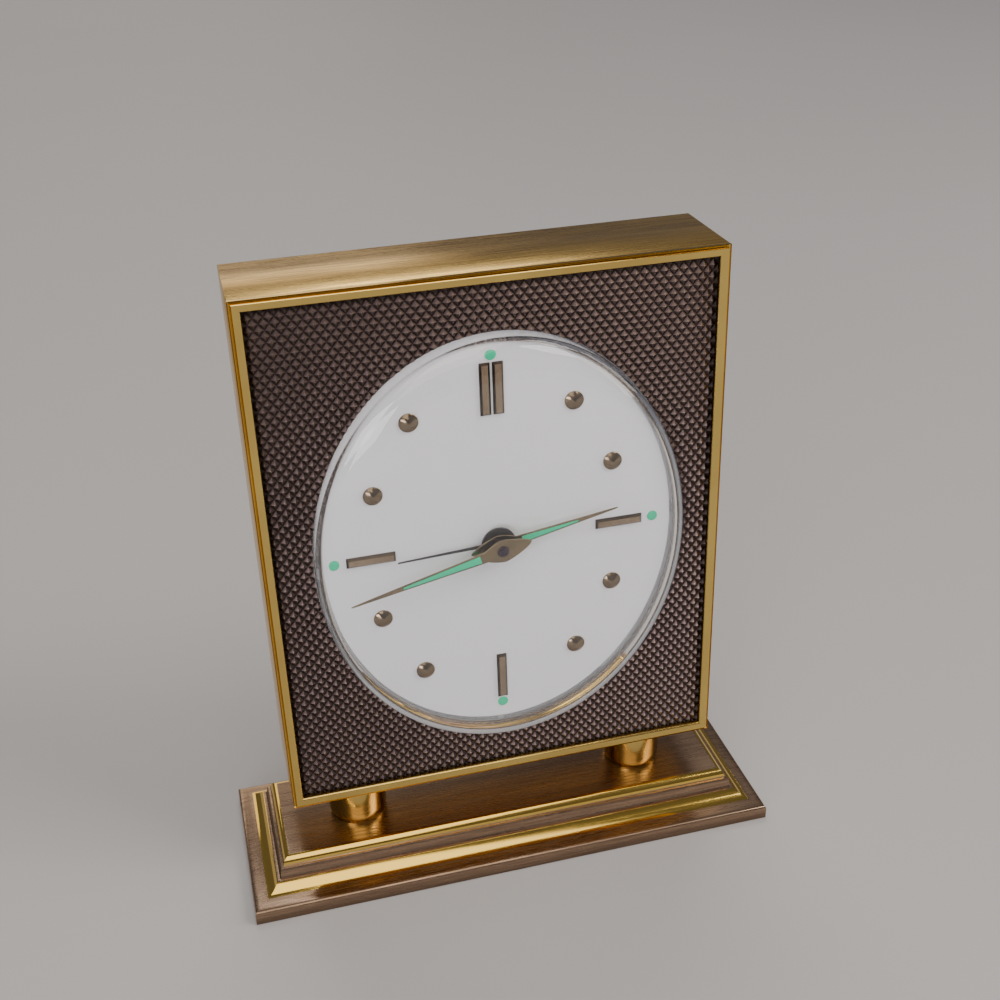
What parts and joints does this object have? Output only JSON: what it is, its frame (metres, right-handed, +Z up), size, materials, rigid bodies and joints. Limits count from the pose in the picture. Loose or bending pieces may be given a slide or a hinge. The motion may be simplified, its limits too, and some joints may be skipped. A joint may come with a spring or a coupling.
{
  "type": "mechanical alarm clock",
  "caption": "Small upright mechanical alarm clock: brass-coloured rectangular case on two turned feet and a stepped plinth, oval domed glass, white dial, three hands, wound from behind.",
  "frame": {"origin": "centre of the plinth's underside", "axes": "+Z up, -Y out of the dial towards the viewer, +X to the viewer's right"},
  "size_m": [0.0992, 0.0356, 0.1144],
  "materials": {
    "polished_gold": "polished, gold tone",
    "brushed_gold": "fine brushed lines along the width",
    "plinth_brass": "satin, with polished beads",
    "movement_brass": "satin",
    "nickel_steel": "satin",
    "blued_steel": "polished, heat blued",
    "panel_bronze": "raised diamond pattern, dark bronze",
    "clear_glass": "clear, domed",
    "dial_white": "matt white",
    "marker_metal": "polished, bevelled",
    "lume": "luminous paint, matt",
    "hand_metal": "polished edges",
    "alarm_hand_black": "satin black",
    "felt_green": "felt"
  },
  "bodies": {
    "case": {"plinth_shell": "plinth_brass", "plinth_plate": "nickel_steel", "felt_pad": "felt_green", "plinth_screws": "nickel_steel", "foot_nuts": "nickel_steel", "foot_left": "polished_gold", "foot_right": "polished_gold", "case_band": "brushed_gold", "front_frame": "polished_gold", "front_panel": "panel_bronze", "glass": "clear_glass", "dial": "dial_white", "hour_markers": "marker_metal", "lume_dots": "lume", "front_posts": "movement_brass", "rear_posts": "movement_brass", "main_plate": "movement_brass", "rear_plate": "movement_brass", "plate_pillars": "movement_brass", "pillar_screws": "blued_steel", "hairspring": "blued_steel", "balance_cock": "movement_brass", "gong_stud": "nickel_steel", "back_cover": "brushed_gold", "back_screws": "polished_gold"},
    "minute": {"cannon_pinion": "nickel_steel", "minute_hand": "hand_metal", "minute_hand_lume": "lume"},
    "hour": {"hour_wheel": "movement_brass", "hour_hand": "hand_metal", "hour_hand_lume": "lume"},
    "alarm_pointer": {"alarm_wheel": "movement_brass", "alarm_hand": "alarm_hand_black"},
    "motion_wheel": {"minute_wheel": "movement_brass"},
    "time_setter": {"time_knob": "polished_gold"},
    "alarm_setter": {"alarm_knob": "polished_gold"},
    "going_barrel": {"time_barrel": "movement_brass", "time_mainspring": "blued_steel"},
    "centre": {"centre_wheel": "movement_brass"},
    "third": {"third_wheel": "movement_brass"},
    "fourth": {"fourth_wheel": "movement_brass"},
    "escape": {"escape_wheel": "movement_brass"},
    "lever": {"pallet_lever": "nickel_steel"},
    "balance": {"balance_wheel": "polished_gold"},
    "time_winder": {"time_arbor": "nickel_steel", "time_ratchet": "nickel_steel", "time_key": "polished_gold"},
    "time_wing": {"time_key_wing": "polished_gold"},
    "time_pawl": {"time_click": "nickel_steel"},
    "alarm_going_barrel": {"alarm_barrel": "movement_brass", "alarm_mainspring": "blued_steel"},
    "alarm_winder": {"alarm_arbor": "nickel_steel", "alarm_ratchet": "nickel_steel", "alarm_key": "polished_gold"},
    "alarm_wing": {"alarm_key_wing": "polished_gold"},
    "alarm_pawl": {"alarm_click": "nickel_steel"},
    "alarm_escape": {"alarm_escape_wheel": "movement_brass"},
    "hammer": {"alarm_hammer": "nickel_steel"},
    "stop_button": {"alarm_stop_button": "polished_gold"},
    "regulator": {"regulator_arm": "nickel_steel"}
  },
  "joints": [
    {"name": "time_set_turn", "type": "hinge", "parent": "case", "child": "time_setter", "pos_m": [-0.01697, 0.00015, 0.08312], "axis": [0, -1, 0], "continuous": true},
    {"name": "motion_wheel_turn", "type": "hinge", "parent": "case", "child": "motion_wheel", "pos_m": [-0.00848, -0.00485, 0.07464], "axis": [0, -1, 0], "continuous": true},
    {"name": "minute_turn", "type": "hinge", "parent": "case", "child": "minute", "pos_m": [0, -0.00485, 0.06615], "axis": [0, -1, 0], "continuous": true},
    {"name": "hour_turn", "type": "hinge", "parent": "case", "child": "hour", "pos_m": [0, -0.00585, 0.06615], "axis": [0, -1, 0], "continuous": true},
    {"name": "alarm_set_turn", "type": "hinge", "parent": "case", "child": "alarm_setter", "pos_m": [0.01697, 0.00015, 0.08312], "axis": [0, -1, 0], "continuous": true},
    {"name": "alarm_pointer_turn", "type": "hinge", "parent": "case", "child": "alarm_pointer", "pos_m": [0, -0.00665, 0.06615], "axis": [0, -1, 0], "continuous": true},
    {"name": "escape_turn", "type": "hinge", "parent": "case", "child": "escape", "pos_m": [0.00697, 0.00115, 0.0947], "axis": [0, -1, 0], "continuous": true},
    {"name": "fourth_turn", "type": "hinge", "parent": "case", "child": "fourth", "pos_m": [-0.00317, 0.00115, 0.09198], "axis": [0, -1, 0], "continuous": true},
    {"name": "third_turn", "type": "hinge", "parent": "case", "child": "third", "pos_m": [0, 0.00215, 0.08015], "axis": [0, -1, 0], "continuous": true},
    {"name": "centre_turn", "type": "hinge", "parent": "case", "child": "centre", "pos_m": [0, 0.00215, 0.06615], "axis": [0, -1, 0], "continuous": true},
    {"name": "barrel_turn", "type": "hinge", "parent": "case", "child": "going_barrel", "pos_m": [-0.01548, -0.00085, 0.05196], "axis": [0, -1, 0], "continuous": true},
    {"name": "lever_swing", "type": "hinge", "parent": "case", "child": "lever", "pos_m": [0.01311, 0.00305, 0.09556], "axis": [0, -1, 0], "range_deg": [-5, 5]},
    {"name": "balance_swing", "type": "hinge", "parent": "case", "child": "balance", "pos_m": [0.02163, -0.00105, 0.09676], "axis": [0, -1, 0], "range_deg": [-135, 135], "stiffness_Nm_per_rad": 0.0000004},
    {"name": "time_wind_turn", "type": "hinge", "parent": "case", "child": "time_winder", "pos_m": [-0.01548, 0.00215, 0.05196], "axis": [0, -1, 0], "range_deg": [0, 2880]},
    {"name": "time_wing_fold", "type": "hinge", "parent": "time_winder", "child": "time_wing", "pos_m": [-0.01548, 0.01255, 0.05196], "axis": [1, 0, 0], "range_deg": [0, 90]},
    {"name": "time_click_lift", "type": "hinge", "parent": "case", "child": "time_pawl", "pos_m": [-0.00988, 0.00635, 0.05986], "axis": [0, 1, 0], "range_deg": [0, 12], "stiffness_Nm_per_rad": 0.0002, "springref_deg": -20.05},
    {"name": "alarm_escape_turn", "type": "hinge", "parent": "case", "child": "alarm_escape", "pos_m": [0.02112, 0.00115, 0.03844], "axis": [0, -1, 0], "continuous": true},
    {"name": "alarm_barrel_turn", "type": "hinge", "parent": "case", "child": "alarm_going_barrel", "pos_m": [0.0175, -0.00085, 0.05196], "axis": [0, -1, 0], "continuous": true},
    {"name": "hammer_swing", "type": "hinge", "parent": "case", "child": "hammer", "pos_m": [0.01282, 0.00305, 0.03621], "axis": [0, -1, 0], "range_deg": [-4, 4]},
    {"name": "alarm_wind_turn", "type": "hinge", "parent": "case", "child": "alarm_winder", "pos_m": [0.0175, 0.00215, 0.05196], "axis": [0, -1, 0], "range_deg": [0, 1440]},
    {"name": "alarm_wing_fold", "type": "hinge", "parent": "alarm_winder", "child": "alarm_wing", "pos_m": [0.0175, 0.01255, 0.05196], "axis": [1, 0, 0], "range_deg": [0, 90]},
    {"name": "alarm_click_lift", "type": "hinge", "parent": "case", "child": "alarm_pawl", "pos_m": [0.0231, 0.00635, 0.05986], "axis": [0, 1, 0], "range_deg": [0, 12], "stiffness_Nm_per_rad": 0.0002, "springref_deg": -20.05},
    {"name": "stop_button_push", "type": "slide", "parent": "case", "child": "stop_button", "axis": [0, -1, 0], "range_m": [0, 0.0014], "stiffness_N_per_m": 300, "springref_m": -0.001},
    {"name": "regulator_turn", "type": "hinge", "parent": "case", "child": "regulator", "pos_m": [0.02163, 0.00695, 0.09676], "axis": [0, -1, 0], "range_deg": [-20, 20]}
  ],
  "couplings": [
    {"joint": "motion_wheel_turn", "follows": "time_set_turn", "ratio": -0.33333},
    {"joint": "minute_turn", "follows": "time_set_turn", "ratio": 1},
    {"joint": "hour_turn", "follows": "time_set_turn", "ratio": 0.083333},
    {"joint": "alarm_pointer_turn", "follows": "alarm_set_turn", "ratio": -0.21212},
    {"joint": "fourth_turn", "follows": "escape_turn", "ratio": -0.16667},
    {"joint": "third_turn", "follows": "escape_turn", "ratio": 0.027778},
    {"joint": "centre_turn", "follows": "escape_turn", "ratio": -0.0046296},
    {"joint": "barrel_turn", "follows": "escape_turn", "ratio": 0.0007716},
    {"joint": "alarm_barrel_turn", "follows": "alarm_escape_turn", "ratio": -0.16667}
  ]
}
